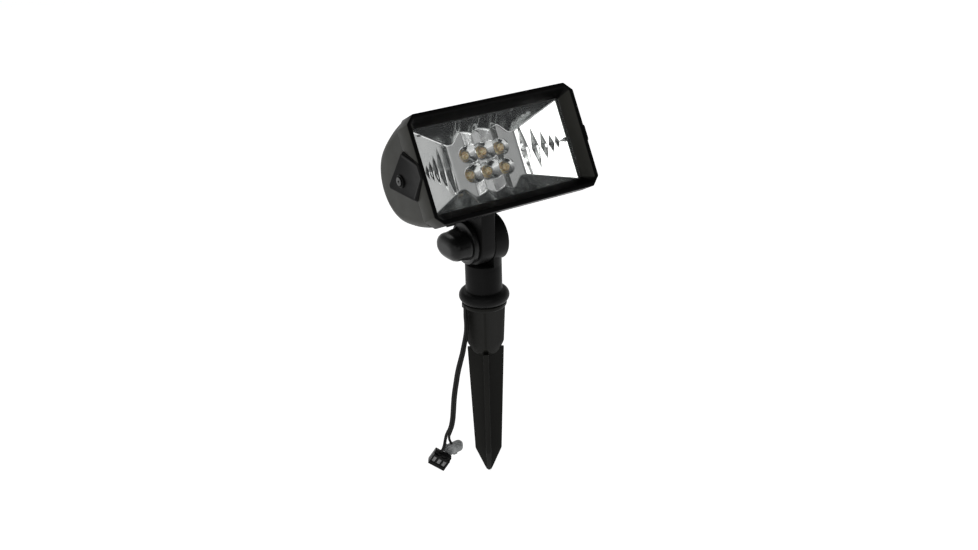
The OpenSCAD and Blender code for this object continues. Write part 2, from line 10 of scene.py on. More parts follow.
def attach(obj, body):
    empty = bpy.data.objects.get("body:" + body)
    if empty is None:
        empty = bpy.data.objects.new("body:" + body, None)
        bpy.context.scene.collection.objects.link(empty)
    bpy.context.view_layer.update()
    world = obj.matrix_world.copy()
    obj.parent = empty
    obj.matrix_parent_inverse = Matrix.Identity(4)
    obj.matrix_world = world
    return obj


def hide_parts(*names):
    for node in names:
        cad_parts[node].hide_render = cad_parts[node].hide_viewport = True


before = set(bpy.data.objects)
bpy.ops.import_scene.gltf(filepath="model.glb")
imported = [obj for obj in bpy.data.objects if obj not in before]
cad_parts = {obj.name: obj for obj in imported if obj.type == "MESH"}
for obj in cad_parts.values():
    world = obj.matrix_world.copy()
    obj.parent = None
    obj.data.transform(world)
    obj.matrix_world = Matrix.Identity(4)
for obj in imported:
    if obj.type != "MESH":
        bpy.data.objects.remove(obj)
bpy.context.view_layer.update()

# ---- frames: pieces are drawn in millimetres in one of these, and placed in metres ----

TILT, LEAN = math.radians(28.5), math.radians(29.5)
HINGE = 0.055
HEAD_W, HEAD_H, DEPTH, BIG_R = 152.0, 85.0, 75.0, 136.0
WINDOW_W, WINDOW_H = 135.0, 66.0
FRONT_R = BIG_R - HEAD_H / 2
BACK_R = (BIG_R**2 - DEPTH**2 - FRONT_R**2) / (2 * (BIG_R - DEPTH))
BACK_Y = DEPTH - BACK_R
NECK = 30.5
REACH = NECK + BACK_R
HEAD = (
    Matrix.Translation((0, 0, HINGE))
    @ Matrix.Rotation(-TILT, 4, "X")
    @ Matrix.Translation((0, (-BACK_Y - REACH * math.sin(LEAN)) / 1000, REACH * math.cos(LEAN) / 1000))
)
AT_NECK = Matrix.Translation((0, 0, HINGE)) @ Matrix.Rotation(LEAN - TILT, 4, "X")
AT_HINGE = Matrix.Translation((0, 0, HINGE))
AT_CORD = Matrix.Rotation(math.radians(147), 4, "Z")
SPIKE_TURN = Matrix.Rotation(math.radians(57), 4, "Z")
HERE = Matrix.Identity(4)

# ---- camera ----


def make_camera():
    az, el, roll = math.radians(-33.02), math.radians(24.11), math.radians(-1.553)
    back = Vector((math.sin(az) * math.cos(el), -math.cos(az) * math.cos(el), math.sin(el)))
    right = (-back).cross(Vector((0, 0, 1))).normalized()
    up = right.cross(-back)
    r = math.cos(roll) * right + math.sin(roll) * up
    u = -math.sin(roll) * right + math.cos(roll) * up
    target = 0.00398 * r + 0.015686 * u + Vector((0, 0, 0.00515))
    cam = bpy.data.objects.new("camera", bpy.data.cameras.new("camera"))
    cam.data.lens, cam.data.sensor_width, cam.data.sensor_fit = 45.807, 36, "HORIZONTAL"
    cam.data.clip_start, cam.data.clip_end = 0.02, 50
    place = Matrix((r, u, back)).transposed().to_4x4()
    place.translation = target + back * 1.0288
    cam.matrix_world = place
    bpy.context.scene.collection.objects.link(cam)
    bpy.context.scene.camera = cam


make_camera()

# ---- materials ----


def nodes_of(name):
    m = bpy.data.materials.new(name)
    m.use_nodes = True
    return m, m.node_tree, m.node_tree.nodes["Principled BSDF"]


def noise(t, scale, detail=3.0, rough=0.55, stretch=(1, 1, 1)):
    tc = t.nodes.new("ShaderNodeTexCoord")
    mp = t.nodes.new("ShaderNodeMapping")
    mp.inputs["Scale"].default_value = stretch
    t.links.new(tc.outputs["Object"], mp.inputs["Vector"])
    n = t.nodes.new("ShaderNodeTexNoise")
    n.inputs["Scale"].default_value = scale
    n.inputs["Detail"].default_value = detail
    n.inputs["Roughness"].default_value = rough
    t.links.new(mp.outputs["Vector"], n.inputs["Vector"])
    return n.outputs["Fac"]


def ramp(t, fac, stops):
    r = t.nodes.new("ShaderNodeValToRGB")
    e = r.color_ramp.elements
    while len(e) < len(stops):
        e.new(0.5)
    for k, (at, colour) in enumerate(stops):
        e[k].position = at
        e[k].color = (*colour, 1)
    t.links.new(fac, r.inputs["Fac"])
    return r.outputs["Color"]


def map_range(t, value, from_min, from_max, to_min=0.0, to_max=1.0):
    m = t.nodes.new("ShaderNodeMapRange")
    limits = {"From Min": from_min, "From Max": from_max, "To Min": to_min, "To Max": to_max}
    for socket, limit in limits.items():
        m.inputs[socket].default_value = limit
    t.links.new(value, m.inputs["Value"])
    return m.outputs["Result"]


def span(t, fac, low, high):
    """Spreads a noise over low to high."""
    return map_range(t, fac, 0.3, 0.7, low, high)


def dot_with(t, vector, axis):
    d = t.nodes.new("ShaderNodeVectorMath")
    d.operation = "DOT_PRODUCT"
    d.inputs[1].default_value = axis
    t.links.new(vector, d.inputs[0])
    return d.outputs["Value"]


def bump(t, p, height, strength, distance):
    b = t.nodes.new("ShaderNodeBump")
    b.inputs["Strength"].default_value = strength
    b.inputs["Distance"].default_value = distance
    t.links.new(height, b.inputs["Height"])
    t.links.new(b.outputs["Normal"], p.inputs["Normal"])


def turned(t, axis, low, high):
    """0 to 1 as the surface turns towards the axis, in the piece's own space, from cosine low to high."""
    tc = t.nodes.new("ShaderNodeTexCoord")
    size = t.nodes.new("ShaderNodeMath")
    size.operation = "ABSOLUTE"
    t.links.new(dot_with(t, tc.outputs["Normal"], axis), size.inputs[0])
    return map_range(t, size.outputs["Value"], low, high)


def blend_colours(t, fac, first, second):
    m = t.nodes.new("ShaderNodeMix")
    m.data_type = "RGBA"
    t.links.new(fac, m.inputs[0])
    t.links.new(first, m.inputs[6])
    t.links.new(second, m.inputs[7])
    return m.outputs[2]


def plastic(name, dark, light, rough=(0.34, 0.46), grain=2600, depth=0.00006, specular=0.5,
            cloud=38, stretch=(1, 1, 1), strength=0.35, painted_side_sheen=None):
    """Moulded plastic: a fine spark-eroded grain, soft clouding and an uneven gloss. The optional side tone is
    a lighter tone painted on the textured faces that look sideways, where a part has them: a painted sheen for the
    light they catch."""
    m, t, p = nodes_of(name)
    mottle = noise(t, cloud, 4, stretch=stretch)
    colour = ramp(t, mottle, [(0.3, dark), (0.7, light)])
    # painted sheen: faces that look sideways along X get the lighter side tone, in place of the light they catch
    if painted_side_sheen:
        colour = blend_colours(t, turned(t, (1, 0, 0), 0.55, 0.8), colour,
                               ramp(t, mottle, [(0.3, painted_side_sheen[0]), (0.7, painted_side_sheen[1])]))
    t.links.new(colour, p.inputs["Base Color"])
    t.links.new(span(t, noise(t, cloud * 3, 3, stretch=stretch), *rough), p.inputs["Roughness"])
    p.inputs["Specular IOR Level"].default_value = specular
    bump(t, p, noise(t, grain, 2), strength, depth)
    return m


def metal(name, dark, light, rough=(0.18, 0.3), grain=1800, depth=0.00003, stretch=(1, 1, 1), strength=0.25):
    m, t, p = nodes_of(name)
    t.links.new(ramp(t, noise(t, 60, 3, stretch=stretch), [(0.3, dark), (0.7, light)]), p.inputs["Base Color"])
    t.links.new(span(t, noise(t, 160, 3, stretch=stretch), *rough), p.inputs["Roughness"])
    p.inputs["Metallic"].default_value = 1.0
    bump(t, p, noise(t, grain, 2, stretch=stretch), strength, depth)
    return m


def grey(v):
    return (v, v, v)


def olive(v):
    return (1.12 * v, 1.12 * v, v)


# painted sheen on the frame's sideways faces: a lighter olive tone where they catch light
FRAME_BLACK = plastic("frame_black", grey(0.0018), grey(0.0032), rough=(0.3, 0.42), specular=0.06,
                      painted_side_sheen=(olive(0.030), olive(0.038)))
TAB_BLACK = plastic("tab_black", grey(0.003), grey(0.006), rough=(0.3, 0.42), specular=0.06)
# painted sheen on the shell's sideways ends: a lighter olive tone where they catch light
SHELL_BLACK = plastic("shell_black", olive(0.012), olive(0.019), rough=(0.36, 0.5), cloud=16, specular=0.1,
                      painted_side_sheen=(olive(0.030), olive(0.040)))
KNUCKLE_BLACK = plastic("knuckle_black", grey(0.0055), grey(0.009), rough=(0.34, 0.46), specular=0.075)
KNOB_BLACK = plastic("knob_black", grey(0.005), grey(0.009), rough=(0.26, 0.38), specular=0.22)
SPIKE_GREY = plastic("spike_grey", olive(0.005), olive(0.012), rough=(0.34, 0.5), cloud=34,
                     stretch=(1, 1, 0.16), grain=1500, depth=0.0001, strength=0.5, specular=0.06)
CORD_BLACK = plastic("cord_black", olive(0.004), olive(0.009), rough=(0.34, 0.5), cloud=140,
                     grain=3400, depth=0.00005, specular=0.2)
RUBBER = plastic("gasket_rubber", grey(0.012), grey(0.022), rough=(0.6, 0.75), specular=0.3)
TAP_BLACK = plastic("tap_black", grey(0.002), grey(0.004), rough=(0.26, 0.4), cloud=160, specular=0.12)
BOARD_WHITE = plastic("board_white", (0.74, 0.75, 0.72), (0.84, 0.85, 0.82), rough=(0.3, 0.42), cloud=120)
BASE_WHITE = plastic("base_white", (0.78, 0.77, 0.72), (0.88, 0.87, 0.83), rough=(0.35, 0.5), cloud=400)
BOARD_GREEN = plastic("board_green", (0.012, 0.09, 0.035), (0.02, 0.14, 0.055), rough=(0.28, 0.4), cloud=300)
PARTS_DARK = plastic("parts_dark", grey(0.02), grey(0.05), rough=(0.3, 0.5), cloud=260)
SCREW = metal("screw_steel", grey(0.05), grey(0.09), rough=(0.3, 0.45))
STEEL = metal("bolt_steel", grey(0.42), grey(0.56), rough=(0.24, 0.38))
ALU = metal("spreader_aluminium", grey(0.62), grey(0.74), rough=(0.28, 0.4), stretch=(0.1, 1, 1))
BRASS = metal("brass", (0.52, 0.34, 0.12), (0.68, 0.47, 0.18), rough=(0.25, 0.4))


def phosphor():
    """The warm silicone over a light source: a fine mottle from amber to pale, and glossy."""
    m, t, p = nodes_of("phosphor")
    t.links.new(ramp(t, noise(t, 900, 5), [(0.36, (0.48, 0.30, 0.10)), (0.5, (0.80, 0.60, 0.30)),
                                           (0.62, (1.0, 0.90, 0.62))]), p.inputs["Base Color"])
    t.links.new(span(t, noise(t, 900, 2), 0.12, 0.24), p.inputs["Roughness"])
    p.inputs["Subsurface Weight"].default_value = 0.25
    p.inputs["Subsurface Radius"].default_value = (0.002, 0.0012, 0.0005)
    p.inputs["Coat Weight"].default_value = 0.5
    bump(t, p, noise(t, 1400, 2), 0.15, 0.0001)
    return m


def mirror():
    """Vacuum-metallised plastic: bright, with a moulded part's slow waviness, and a painted dark reflection on the
    steep walls above and below.
    """
    m, t, p = nodes_of("mirror_coating")
    waves = noise(t, 90, 3)
    full = ramp(t, waves, [(0.3, (0.84, 0.86, 0.85)), (0.7, (0.93, 0.94, 0.93))])
    # painted reflection: the steep walls above and below get a dark base colour, standing in for the dark room they
    # would reflect
    painted_dark_reflection = ramp(t, waves, [(0.3, (0.22, 0.23, 0.225)), (0.7, (0.42, 0.43, 0.425))])
    up = HEAD.to_3x3() @ Vector((0, 0, 1))
    t.links.new(blend_colours(t, turned(t, up, 0.3, 0.66), full, painted_dark_reflection), p.inputs["Base Color"])
    t.links.new(span(t, noise(t, 120, 3), 0.06, 0.16), p.inputs["Roughness"])
    p.inputs["Metallic"].default_value = 1.0
    bump(t, p, noise(t, 110, 2), 0.14, 0.0006)
    return m


def clear_window():
    """The clear window: nearly invisible, with a soft sheen."""
    m, t, p = nodes_of("lens_clear")
    t.links.new(ramp(t, noise(t, 30, 2), [(0.3, (0.80, 0.84, 0.85)), (0.7, (0.88, 0.91, 0.92))]),
                p.inputs["Base Color"])
    t.links.new(span(t, noise(t, 50, 2), 0.03, 0.06), p.inputs["Roughness"])
    p.inputs["Specular IOR Level"].default_value = 0.3
    p.inputs["Alpha"].default_value = 0.04
    return m


def frosted():
    """The milky translucent plastic of the tap's clear half."""
    m, t, p = nodes_of("tap_clear")
    t.links.new(ramp(t, noise(t, 220, 4), [(0.3, (0.17, 0.18, 0.18)), (0.55, (0.29, 0.3, 0.3)),
                                           (0.75, (0.42, 0.43, 0.43))]), p.inputs["Base Color"])
    t.links.new(span(t, noise(t, 300, 3), 0.22, 0.38), p.inputs["Roughness"])
    p.inputs["Subsurface Weight"].default_value = 0.3
    p.inputs["Subsurface Radius"].default_value = (0.002, 0.002, 0.002)
    p.inputs["Transmission Weight"].default_value = 0.2
    bump(t, p, noise(t, 900, 2), 0.2, 0.0001)
    return m


PHOSPHOR, MIRROR, WINDOW, FROSTED = phosphor(), mirror(), clear_window(), frosted()
INSERT_GREY = plastic("insert_grey", grey(0.12), grey(0.24), rough=(0.3, 0.45), cloud=400)

# ---- mesh helpers ----


def loft(bm, sections, cap=True, closed=True):
    """Quads between sections of equally many points; the first and last are capped."""
    rings = [[bm.verts.new(p) for p in s] for s in sections]
    n = len(rings[0])
    for a, b in zip(rings, rings[1:]):
        for k in range(n if closed else n - 1):
            j = (k + 1) % n
            bm.faces.new((a[k], a[j], b[j], b[k]))
    if cap:
        bm.faces.new(rings[0])
        bm.faces.new(rings[-1][::-1])
    return rings


def circle(r, n=64):
    return [(r * math.cos(2 * math.pi * k / n), r * math.sin(2 * math.pi * k / n)) for k in range(n)]


def lathe_z(bm, profile, n=72):
    """A closed turned body: profile is (radius, height) from one pole to the other."""
    loft(bm, [[(x, y, z) for x, y in circle(max(r, 0.01), n)] for r, z in profile])


def lathe_x(bm, profile, n=72, at=(0, 0)):
    """The same about an axis along X, through (y, z) = at."""
    loft(bm, [[(x, at[0] + a, at[1] + b) for a, b in circle(max(r, 0.01), n)] for r, x in profile])


def extrude_x(bm, outline, x0, x1):
    loft(bm, [[(x, y, z) for y, z in outline] for x in (x0, x1)])


def arc(cy, cz, r, a0, a1, n):
    return [(cy + r * math.cos(math.radians(a0 + (a1 - a0) * k / n)),
             cz + r * math.sin(math.radians(a0 + (a1 - a0) * k / n))) for k in range(n + 1)]


def soften(bm, offset, segments=2, angle=32):
    """Rounds every edge that is sharper than the angle."""
    bmesh.ops.recalc_face_normals(bm, faces=bm.faces)
    sharp = [e for e in bm.edges if len(e.link_faces) == 2 and e.calc_face_angle(0) > math.radians(angle)]
    bmesh.ops.bevel(bm, geom=sharp, offset=offset, segments=segments, profile=0.5, affect="EDGES",
                    clamp_overlap=True)


def join(bm, other):
    """Puts another mesh's faces into bm."""
    scratch = bpy.data.meshes.new("scratch")
    other.to_mesh(scratch)
    other.free()
    bm.from_mesh(scratch)
    bpy.data.meshes.remove(scratch)


def piece(name, bm, material, body, place=HERE, stands_for=(), angle=36):
    bmesh.ops.remove_doubles(bm, verts=bm.verts, dist=1e-4)
    bmesh.ops.recalc_face_normals(bm, faces=bm.faces)
    for f in bm.faces:
        f.smooth = True
    for e in bm.edges:
        e.smooth = len(e.link_faces) == 2 and e.calc_face_angle(0) < math.radians(angle)
    bm.transform(place @ Matrix.Scale(0.001, 4))
    mesh = bpy.data.meshes.new(name)
    bm.to_mesh(mesh)
    bm.free()
    mesh.materials.append(material)
    o = bpy.data.objects.new(name, mesh)
    bpy.context.scene.collection.objects.link(o)
    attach(o, body)
    if stands_for:
        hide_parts(*stands_for)
    return o


# ---- cord: the same route as the CAD's, in metres, in the cord's frame ----

CORD_PATH = [
    (0.016, 0.006, -0.004), (0.016, 0.006, -0.0111), (0.0156, 0.006, -0.0183), (0.0158, 0.006, -0.0254),
    (0.0168, 0.006, -0.0325), (0.0182, 0.006, -0.0395), (0.0196, 0.006, -0.0465), (0.0214, 0.006, -0.0534),
    (0.0232, 0.006, -0.0603), (0.0247, 0.006, -0.0673), (0.0259, 0.006, -0.0744), (0.0271, 0.0061, -0.0814),
    (0.0281, 0.0064, -0.0885), (0.0288, 0.0066, -0.0956), (0.0294, 0.0069, -0.1027), (0.0302, 0.0073, -0.1098),
    (0.0317, 0.0077, -0.1167), (0.0343, 0.0076, -0.1234)]
LEAD_DARK = [
    (0.0355, 0.0076, -0.1231), (0.03625, 0.0076, -0.12495), (0.0372, 0.0088, -0.1286), (0.0381, 0.0108, -0.1326),
    (0.03955, 0.0122, -0.13637), (0.04123, 0.0122, -0.13886)]
LEAD_CLEAR = [
    (0.0331, 0.0076, -0.124), (0.0337, 0.0076, -0.12545), (0.0339, 0.0062, -0.129), (0.0332, 0.005, -0.1327),
    (0.03215, 0.005, -0.135)]


def smooth_route(points, per=5):
    """Points on a smooth curve through the route."""
    p = [Vector(q) for q in points]
    p = [2 * p[0] - p[1]] + p + [2 * p[-1] - p[-2]]
    out = []
    for i in range(1, len(p) - 2):
        for k in range(per):
            t = k / per
            out.append(0.5 * ((2 * p[i]) + (p[i + 1] - p[i - 1]) * t
                              + (2 * p[i - 1] - 5 * p[i] + 4 * p[i + 1] - p[i + 2]) * t * t
                              + (3 * p[i] - p[i - 1] - 3 * p[i + 1] + p[i + 2]) * t**3))
    return out + [p[-2]]


def tube(bm, route, section, broad):
    """A profile swept along the route; broad(t) is the direction of its wide side."""
    rings = []
    for i, q in enumerate(route):
        d = (route[min(i + 1, len(route) - 1)] - route[max(i - 1, 0)]).normalized()
        w = broad(i / (len(route) - 1))
        w = (w - w.dot(d) * d).normalized()
        v = d.cross(w)
        rings.append([q + a * w + b * v for a, b in section(i / (len(route) - 1))])
    loft(bm, rings)


def twin_section(t):
    """The figure of eight of a flat twin cord, 4.8 mm by 2.6 mm."""
    half, r, out = 1.1, 1.3, []
    for k in range(32):
        a = 2 * math.pi * k / 32
        c, s = math.cos(a), math.sin(a)
        far = abs(c) * half + math.sqrt(max(r * r - (half * s) ** 2, 0.0))
        out.append((far * c, max(min(far * s, r), -r)))
    return out


def round_section(r):
    return lambda t: circle(r, 20)


def cord_pieces():
    route = [1000 * q for q in smooth_route(CORD_PATH)]

    def broad(t):
        turn = math.radians(80) * max(0.0, 1 - t / 0.45)
        return Vector((math.cos(turn), math.sin(turn), 0))

    bm = bmesh.new()
    tube(bm, route, twin_section, broad)
    twin = piece("twin_cord", bm, CORD_BLACK, "stake", AT_CORD, ("cord",), angle=60)
    path = [AT_CORD @ (q / 1000) for q in route]
    leads = []
    for name, points, node, r, reach in (("dark_lead", LEAD_DARK, "lead_dark", 1.4, 0.0028),
                                         ("clear_lead", LEAD_CLEAR, "lead_clear", 1.15, 0.0022)):
        bm = bmesh.new()
        back = (Vector(points[0]) - Vector(points[1])).normalized()
        start = Vector(points[0]) + reach * back
        tube(bm, [1000 * q for q in smooth_route([start] + list(points))], round_section(r),
             lambda t: Vector((0, 1, 0)))
        leads.append(piece(name, bm, CORD_BLACK, "stake", AT_CORD, (node,), angle=60))
    return twin, path, leads


TWIN, PATH, LEADS = cord_pieces()


def tap_pieces():
    """The cable tap's dark half, with its three windows, and its milky half."""
    at_tap = AT_CORD @ Matrix.Translation((0.0426, 0.0122, -0.1459)) @ Matrix.Rotation(math.radians(-34), 4, "Y")
    bm = bmesh.new()

    def box(x0, x1, y0, y1, z0, z1):
        loft(bm, [[(x0, y, z0), (x1, y, z0), (x1, y, z1), (x0, y, z1)] for y in (y0, y1)])

    # back plate, the walls between the windows, the sill and the head with its snap ridge
    box(-8, 8, -4, 2, -6.5, 6.5)
    for x0, x1 in ((-8, -6.2), (-3, -1.4), (1.8, 3.4), (6.6, 8)):
        box(x0, x1, 1.9, 4, -3.5, 2.1)
    box(-8, 8, 1.9, 4.3, -6.5, -3.3)
    box(-8, 8, 1.9, 4, 1.9, 4.3)
    box(-6.4, 4.6, 1.9, 3.3, 4.1, 6.5)
    box(-4.6, -2.4, 3.2, 4.4, 4.3, 5.6)
    box(1.0, 3.2, 3.2, 4.4, 4.3, 5.6)
    soften(bm, 0.35, 2)
    body = piece("tap_dark_half", bm, TAP_BLACK, "stake", at_tap, ("tap_body",))

    bm = bmesh.new()
    for x0, x1 in ((-6.1, -3.1), (-1.3, 1.7), (3.5, 6.5)):
        box(x0, x1, 1.95, 3.3, -3.2, 1.8)
    soften(bm, 0.25, 2)
    windows = piece("tap_windows", bm, INSERT_GREY, "stake", at_tap, ())

    at_cap = AT_CORD @ Matrix.Translation((0.0303, 0.005, -0.139)) @ Matrix.Rotation(math.radians(25.5), 4, "Y")
    bm = bmesh.new()
    outline = [(8.5, -4.3), (8.5, 2.6), (6.6, 4.3)]
    outline += [(-4.2 + 4.3 * math.cos(a), 4.3 * math.sin(a)) for a in np.linspace(math.pi / 2, 1.5 * math.pi, 13)]
    loft(bm, [[(x, y, z) for x, z in outline] for y in (-3, 3)])
    # the raised lid, the ramp where the lead goes in, and the small catch under it
    loft(bm, [[(x * 0.8 - 0.7, y, z * 0.74) for x, z in outline] for y in (2.9, 3.7)])
    loft(bm, [[(3.4, y, 3.8), (8.4, y, 2.2), (8.4, y, 3.2), (5.6, y, 6.6), (4.4, y, 6.4)] for y in (-1.8, 1.8)])
    loft(bm, [[(-0.6, y, -6.0), (3.0, y, -6.0), (3.4, y, -4.1), (-1.2, y, -4.1)] for y in (-2, 2)])
    soften(bm, 0.45, 2)
    cap = piece("tap_clear_half", bm, FROSTED, "stake", at_cap, ("tap_cap",))
    return [body, windows, cap]


TAP = tap_pieces()

# ---- head ----


def octagon(w, h, c, y):
    """A rectangle at depth y with its corners cut off by c."""
    return [(c - w / 2, y, -h / 2), (w / 2 - c, y, -h / 2), (w / 2, y, c - h / 2), (w / 2, y, h / 2 - c),
            (w / 2 - c, y, h / 2), (c - w / 2, y, h / 2), (-w / 2, y, h / 2 - c), (-w / 2, y, c - h / 2)]


def set_in(d):
    """The corner cut of an octagon that lies d inside the frame's outline."""
    return 7 - d * (2 - math.sqrt(2))


def hull_outline(circles, n=24):
    """The outline round a set of circles, as points in order."""
    pts = [(cy + r * math.cos(2 * math.pi * k / n), cz + r * math.sin(2 * math.pi * k / n))
           for cy, cz, r in circles for k in range(n)]
    pts = sorted(set((round(a, 5), round(b, 5)) for a, b in pts))

    def half(seq):
        out = []
        for q in seq:
            while len(out) > 1 and ((out[-1][0] - out[-2][0]) * (q[1] - out[-2][1])
                                    - (out[-1][1] - out[-2][1]) * (q[0] - out[-2][0])) <= 0:
                out.pop()
            out.append(q)
        return out[:-1]

    return half(pts) + half(pts[::-1])


def front_frame():
    bm = bmesh.new()
    rings = [octagon(HEAD_W, HEAD_H, 7, 18), octagon(HEAD_W, HEAD_H, 7, 0), octagon(HEAD_W - 7, HEAD_H - 7, 3.2, 0),
             octagon(WINDOW_W, WINDOW_H, 1.4, 11), octagon(WINDOW_W, WINDOW_H, 1.4, 12.5),
             octagon(HEAD_W - 5, HEAD_H - 5, set_in(2.5), 12.5), octagon(HEAD_W - 5, HEAD_H - 5, set_in(2.5), 18)]
    loft(bm, rings + [rings[0]], cap=False)
    bmesh.ops.remove_doubles(bm, verts=bm.verts, dist=1e-4)
    soften(bm, 0.8, 3, 28)
    piece("front_frame", bm, FRAME_BLACK, "head", HEAD, ("bezel",), angle=30)


def side_tabs():
    """A diamond on each side of the frame, with a low rim, a fold towards the front and a screw boss."""
    circles = [(3, s * 4.4, 2) for s in (-1, 1)] + [(18, s * 16.5, 2) for s in (-1, 1)] + [(50, 0, 2)]
    outline = hull_outline(circles)
    fold, fall = 19.0, 0.11
    bm = bmesh.new()
    for side in (-1, 1):
        rings = []
        for x, k in ((74.9, 1.06), (76.6, 1.045), (77.6, 1.0), (78.3, 0.97), (78.4, 0.94), (78.3, 0.91),
                     (77.9, 0.86)):
            ring = [(24 + (y - 24) * k, z * k) for y, z in outline]
            rings.append([(side * (x - (max(0.0, fold - y) * fall if x > 77 else 0)), y, z) for y, z in ring])
        loft(bm, rings)
        lathe_x(bm, [(5.4, side * 77.2), (5.2, side * 78.3), (4.7, side * 78.7), (4.0, side * 78.7),
                     (3.8, side * 78.3), (3.7, side * 77.4)], 40, (32, 0))
    piece("side_tabs", bm, TAB_BLACK, "head", HEAD, (), angle=30)


def shell_outline(inset, y0=18.3, big_n=28, small_n=36):
    big = BIG_R - inset
    start = math.degrees(math.acos(y0 / big))
    meet = math.degrees(math.atan2(FRONT_R, BACK_Y))
    return (arc(0, -FRONT_R, big, start, meet, big_n) + arc(BACK_Y, 0, BACK_R - inset, meet, -meet, small_n)[1:-1]
            + arc(0, FRONT_R, big, -meet, -start, big_n))


def shell():
    """The D-shaped back shell with rounded ends, hollow, and the spigot that enters the frame."""
    bm = bmesh.new()

    def skin(inset, width, r):
        angles = [math.radians(90 * k / 8) for k in range(9)]
        stations = ([(-(width / 2 - r * (1 - math.sin(a))), inset + r * (1 - math.cos(a))) for a in angles[::-1]]
                    + [(x, inset) for x in np.linspace(-width / 2 + r, width / 2 - r, 12)[1:-1]]
                    + [((width / 2 - r * (1 - math.sin(a))), inset + r * (1 - math.cos(a))) for a in angles])
        return loft(bm, [[(x, y, z) for y, z in shell_outline(i)] for x, i in stations], closed=False)

    outer, inner = skin(0, 150, 8), skin(2.5, 145, 5.5)
    for a, b, c, d in zip(outer, outer[1:], inner, inner[1:]):
        for end in (0, -1):
            bm.faces.new((a[end], b[end], d[end], c[end]))
    for end in (0, -1):
        bm.faces.new((outer[end][0], outer[end][-1], inner[end][-1], inner[end][0]))
    rings = [octagon(146.4, 79.4, set_in(2.8), 12.8), octagon(142.6, 75.6, set_in(4.7), 12.8),
             octagon(142.6, 75.6, set_in(4.7), 21), octagon(146.4, 79.4, set_in(2.8), 21)]
    loft(bm, rings + [rings[0]], cap=False)
    piece("back_shell", bm, SHELL_BLACK, "head", HEAD, ("housing",), angle=40)


# how far along each end wall a rib stands, and half its length
RIBS = ((35.5, 25.0), (43.5, 17.0), (50.0, 12.0), (55.5, 8.0), (60.0, 5.6))
TRAY_FRONT, TRAY_FLOOR, CUP_DEPTH = 15.6, 31.4, 33.3
END_SLOPE = 17.4 / 40.5
WALL_SLOPE = 1.05
LED_STEP, LED_HOLE = 16.5, 4.1
LED_COLUMNS, LED_ROWS = (-LED_STEP, 0.0, LED_STEP), (-8.0, 8.0)


def soft_min(a, b, k):
    h = max(0.0, min(1.0, 0.5 + 0.5 * (b - a) / k))
    return b * (1 - h) + a * h - k * h * (1 - h)


def ease(t):
    t = max(0.0, min(1.0, t))
    return t * t * (3 - 2 * t)


def end_depth(x):
    """The depth of an end wall, which runs in from the window's edge."""
    return TRAY_FRONT + (WINDOW_W / 2 - abs(x)) * END_SLOPE


def tray_depth(x, z):
    """How deep the mirrored tray is behind the frame's front at (x, z), all in millimetres.

    Shallow troughs with a crest between neighbours, a cup round each light source, and walls that lean
    out to the window and are hollowed above and below each trough."""
    column = min(LED_COLUMNS, key=lambda c: abs(x - c))
    off = abs(x - column)
    inner = abs(x) < LED_STEP
    floor = TRAY_FLOOR - (off * 0.31 if inner else 0.0)
    near = min(math.hypot(x - column, z - row) for row in LED_ROWS)
    floor = max(floor, CUP_DEPTH - max(0.0, near - LED_HOLE) * 0.8)
    if inner:
        hollow = 2.0 + 6.0 * (1 - off / (LED_STEP / 2)) ** 0.7
    else:
        hollow = 8.0 * (1 - ease((abs(x) - LED_STEP) / 11))
    wall = TRAY_FRONT + (WINDOW_H / 2 + hollow - abs(z)) * WALL_SLOPE
    return soft_min(soft_min(floor, wall, 0.6), end_depth(x), 0.6)


def reflector():
    bm = bmesh.new()
    rim, step = 3.0, 0.01
    w, h = WINDOW_W / 2, WINDOW_H / 2
    xs = [-w - rim] + list(np.linspace(-w, w, 301)) + [w + rim]
    zs = [-h - rim, -h - step] + list(np.linspace(-h, h, 133)) + [h + step, h + rim]
    leds = [(x, z) for x in LED_COLUMNS for z in LED_ROWS]
    grid = []
    for z in zs:
        row = []
        for x in xs:
            px, pz = x, z
            for cx, cz in leds:
                r = math.hypot(x - cx, z - cz)
                if abs(r - LED_HOLE) < 0.3:
                    px, pz = cx + (x - cx) * LED_HOLE / r, cz + (z - cz) * LED_HOLE / r
            inside = abs(x) <= w and abs(z) <= h + 0.001
            row.append(bm.verts.new((px, tray_depth(px, pz) if inside else TRAY_FRONT, pz)))
        grid.append(row)
    for a, b in zip(grid, grid[1:]):
        for k in range(len(xs) - 1):
            quad = (a[k], a[k + 1], b[k + 1], b[k])
            mx, mz = sum(v.co.x for v in quad) / 4, sum(v.co.z for v in quad) / 4
            if min(math.hypot(mx - cx, mz - cz) for cx, cz in leds) > LED_HOLE - 0.08:
                bm.faces.new(quad)
    bmesh.ops.delete(bm, geom=[v for v in bm.verts if not v.link_faces], context="VERTS")
    o = piece("mirrored_tray", bm, MIRROR, "head", HEAD, ("reflector",), angle=30)
    # the thickness goes behind the mirrored face
    front = HEAD.to_3x3() @ Vector((0, -1, 0))
    if sum(f.normal.dot(front) for f in o.data.polygons) < 0:
        o.data.flip_normals()
    thick = o.modifiers.new("thickness", "SOLIDIFY")
    thick.thickness, thick.offset = 0.0009, -1.0


